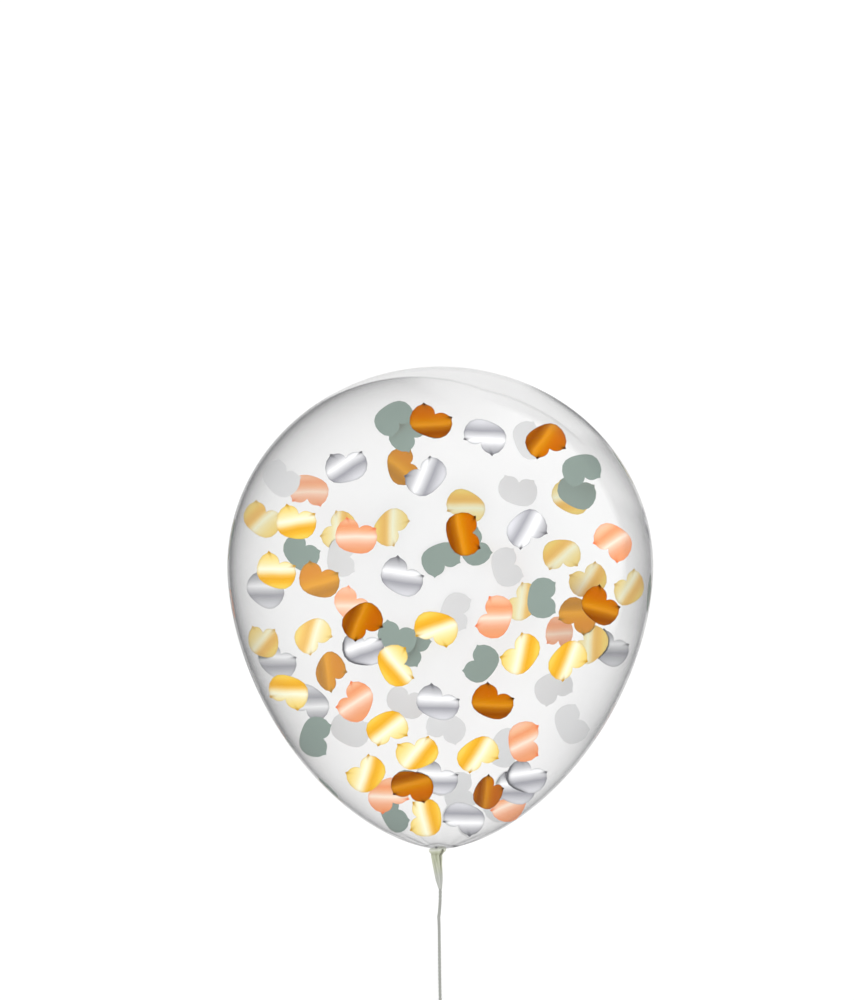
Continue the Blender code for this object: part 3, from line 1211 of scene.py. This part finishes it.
def flakes_mesh(name, flakes, sizes):
    """The flakes of one foil as one mesh: two faces each, both fans, joined by a thin rim.

    A point at the angle a on a face is middle + r(a) (cos a notch + sin a side) - r(a)^2 / (2 curl)
    outward, moved by half the thickness. The UV map's second number runs across the foil's painted
    reflection stripes, from 0 where they start. Each attribute is the flake's own share times what
    the outlines of its foil and of its back have, and their two middles.
    """
    count = len(TURNS)
    side = np.arange(count)
    after = (side + 1) % count
    face = np.stack([np.full(count, 2 * count), side, after], axis=1)
    back = np.stack([np.full(count, 2 * count + 1), count + after, count + side], axis=1)
    rim = np.stack([side, count + side, count + after, after], axis=1)
    local = np.column_stack([np.cos(TURNS), np.sin(TURNS)]) * flake_outline(TURNS)[:, None]
    points, fans, rims, places = [], [], [], []
    for number, flake in enumerate(flakes):
        half = sizes.thickness / 2 * flake.axes[2] * flake.facing
        outline = flake.points(sizes)
        points += [outline + half, outline - half, [flake.middle + half], [flake.middle - half]]
        turn = math.radians(flake.start - flake.notch)
        toward = local @ (math.cos(turn), math.sin(turn) * flake.wall)
        beside = local @ (-math.sin(turn) * flake.wall, math.cos(turn))
        plain = np.column_stack([beside, 0.5 - toward / 2])
        places += [plain, plain, [[0.0, 0.5], [0.0, 0.5]]]
        handed = slice(None) if flake.facing > 0 else slice(None, None, -1)
        base = number * (2 * count + 2)
        fans += [(face + base)[:, handed], (back + base)[:, handed]]
        rims.append((rim + base)[:, handed])
    faces = [np.vstack(fans), np.vstack(rims)]
    corners = [np.vstack(places)[part] for part in faces]
    mesh = closed_mesh(name, np.vstack(points), faces, "bands", corners)
    ones = np.ones(count)
    every = np.ones(len(flakes))
    roll_shaded = [flake.roll_shaded for flake in flakes]
    painted_veils = [flake.veil for flake in flakes]
    for key, shares, on_foil, on_back, middles in (
        ("foil", every, ones, 0.0 * ones, (1.0, 0.0)),
        ("edge", every, ones, ones, (0.0, 0.0)),
        ("nub", every, nub_at(TURNS), nub_at(TURNS), (0.0, 0.0)),
        ("roll", roll_shaded, roll_shade_at(TURNS), roll_shade_at(TURNS), (0.0, 0.0)),
        ("veil", painted_veils, ones, ones, (1.0, 1.0)),
    ):
        set_attribute(mesh, key, np.outer(shares, np.concatenate([on_foil, on_back, middles])))
    mesh.set_sharp_from_angle(angle=SHARP_ANGLE)
    return mesh


# The string


def loop_line(sizes, steps=400):
    """A teardrop on the floor behind the knot.

    The side swings out as sin(2 pi u) sin(pi u), and the length goes as sin^2(pi u).
    """
    u = np.linspace(0.0, 1.0, steps)
    swell = np.sin(math.pi * u)
    radius = sizes.diameter / 2
    feet = sizes.loop_feet / 2 * np.cos(math.pi * u)
    side = feet + sizes.loop_width / 2 * np.sin(2 * math.pi * u) * swell
    low = LOOP_LOW.z + radius
    length = LOOP_HIGH.y - LOOP_LOW.y - radius
    line = [
        KNOT_CENTRE.x + side,
        LOOP_HIGH.y - length * swell**2,
        low + (KNOT_CENTRE.z - low) * (1.0 - swell) ** 3,
    ]
    return resampled(np.stack(line, axis=1), sizes.lay / LAY_STEPS)


def knot_line(sizes, steps=161):
    """An overhand knot, scaled to fill the knot's box.

    Its curve is (cos t - 2 cos 2t, sin t + 2 sin 2t, -sin 3t).
    """
    t = np.linspace(0.0, math.tau, steps)
    curve = [np.cos(t) - 2 * np.cos(2 * t), np.sin(t) + 2 * np.sin(2 * t), -np.sin(3 * t)]
    curl = np.stack(curve, axis=1)
    low, high = curl.min(axis=0), curl.max(axis=0)
    room = np.array(KNOT_HIGH - KNOT_LOW) - sizes.diameter
    return np.array(KNOT_CENTRE) + (curl - (low + high) / 2) / (high - low) * room


# Operators


class MAKE_OT_stage(Operator):
    """Floor, soft light, and a camera that looks straight down on the balloon"""

    bl_idname = "confetti_balloon.stage"
    bl_label = "Stage"

    def execute(self, context):
        scene = context.scene
        stage = scene.balloon_stage
        half = stage.floor_size / 2
        corners = [(-half, -half), (half, -half), (half, half), (-half, half)]
        mesh = bpy.data.meshes.new("floor")
        mesh.from_pydata([(x, y, -FLOOR_DROP) for x, y in corners], [], [(0, 1, 2, 3)])
        paint = Paint("floor_paint")
        sockets = {
            "Base Color": stage.floor_colour,
            "Roughness": 0.9,
            "Emission Color": WHITE,
            "Emission Strength": stage.floor_glow,
        }
        add_piece("floor", mesh, paint.finished(paint.principled(sockets)))

        world = bpy.data.worlds.new("studio")
        world.use_nodes = True
        sky = world.node_tree.nodes["Background"].inputs
        sky["Color"].default_value = (*WHITE, 1.0)
        sky["Strength"].default_value = stage.sky_strength
        scene.world = world
        scene.view_settings.view_transform = "Standard"

        key = bpy.data.lights.new("key_softbox", "AREA")
        key.energy = stage.key_power
        key.shape = "SQUARE"
        key.size = KEY_SIDE
        lamp = add_object("key_softbox", key)
        lamp.location = KEY_PLACE
        lamp.rotation_euler = KEY_TURN

        lens = bpy.data.cameras.new("camera")
        lens.lens = stage.lens
        lens.sensor_width = FILM_BACK
        scene.camera = add_object("camera", lens)
        scene.camera.location = stage.camera_place
        return {"FINISHED"}


class MAKE_OT_string(Operator):
    """The string from the tail to its knot, with the knot and the hand loop"""

    bl_idname = "confetti_balloon.string"
    bl_label = "String"

    def execute(self, context):
        sizes = context.scene.balloon_string
        paint = string_paint(sizes)
        route = smooth_route(np.array(STRING_ROUTE), sizes.lay / LAY_STEPS)
        sideways, upright = np.eye(3)[[0, 2]]
        for name, node, path, across, closed in (
            ("string_plies", "string", route, sideways, False),
            ("loop_plies", "hand_loop", loop_line(sizes), upright, False),
            ("overhand_knot", "string_knot", knot_line(sizes), upright, True),
        ):
            rings = plied_rings(path, sizes, across, closed=closed)
            piece = add_piece(name, closed_skin(name, rings, PLY_UV_STEP), paint)
            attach(piece, "root")
            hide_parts(node)
        return {"FINISHED"}


class MAKE_OT_bubble(Operator):
    """The clear film and its gathered neck"""

    bl_idname = "confetti_balloon.bubble"
    bl_label = "Bubble and neck"

    def execute(self, context):
        sizes = context.scene.balloon_bubble
        for piece in (make_film(sizes), make_neck(sizes)):
            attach(piece, "root")
            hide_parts("balloon")
        return {"FINISHED"}


class MAKE_OT_confetti(Operator):
    """The foil flakes sealed in the balloon, one piece for each foil"""

    bl_idname = "confetti_balloon.confetti"
    bl_label = "Confetti"

    def execute(self, context):
        scene = context.scene
        sizes = scene.balloon_confetti
        flakes = placed_flakes(scene.balloon_bubble, sizes, scene.balloon_stage)
        for foil in FOIL_REFLECTION_BANDS:
            mine = [flake for flake in flakes if flake.foil == foil]
            mesh = flakes_mesh("confetti_" + foil, mine, sizes)
            piece = add_piece("confetti_" + foil, mesh, foil_paint(foil, sizes))
            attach(piece, "root")
        return {"FINISHED"}


class VIEW3D_PT_confetti_balloon(Panel):
    """Sizes, colours and makers of the balloon"""

    bl_label = "Confetti balloon"
    bl_space_type = "VIEW_3D"
    bl_region_type = "UI"
    bl_category = "Balloon"

    def draw(self, context):
        for settings, kind, maker in GROUPS:
            box = self.layout.box()
            for name in kind.__annotations__:
                box.prop(getattr(context.scene, settings), name)
            box.operator(maker.bl_idname)


GROUPS = (
    ("balloon_stage", StageSettings, MAKE_OT_stage),
    ("balloon_string", StringSettings, MAKE_OT_string),
    ("balloon_bubble", BalloonSettings, MAKE_OT_bubble),
    ("balloon_confetti", ConfettiSettings, MAKE_OT_confetti),
)


def register():
    for settings, kind, maker in GROUPS:
        bpy.utils.register_class(kind)
        bpy.utils.register_class(maker)
        setattr(bpy.types.Scene, settings, PointerProperty(type=kind))
    bpy.utils.register_class(VIEW3D_PT_confetti_balloon)


def unregister():
    bpy.utils.unregister_class(VIEW3D_PT_confetti_balloon)
    for settings, kind, maker in reversed(GROUPS):
        delattr(bpy.types.Scene, settings)
        bpy.utils.unregister_class(maker)
        bpy.utils.unregister_class(kind)


def main():
    register()
    bpy.ops.confetti_balloon.stage()
    bpy.ops.confetti_balloon.string()
    bpy.ops.confetti_balloon.bubble()
    bpy.ops.confetti_balloon.confetti()


if __name__ == "__main__":
    main()
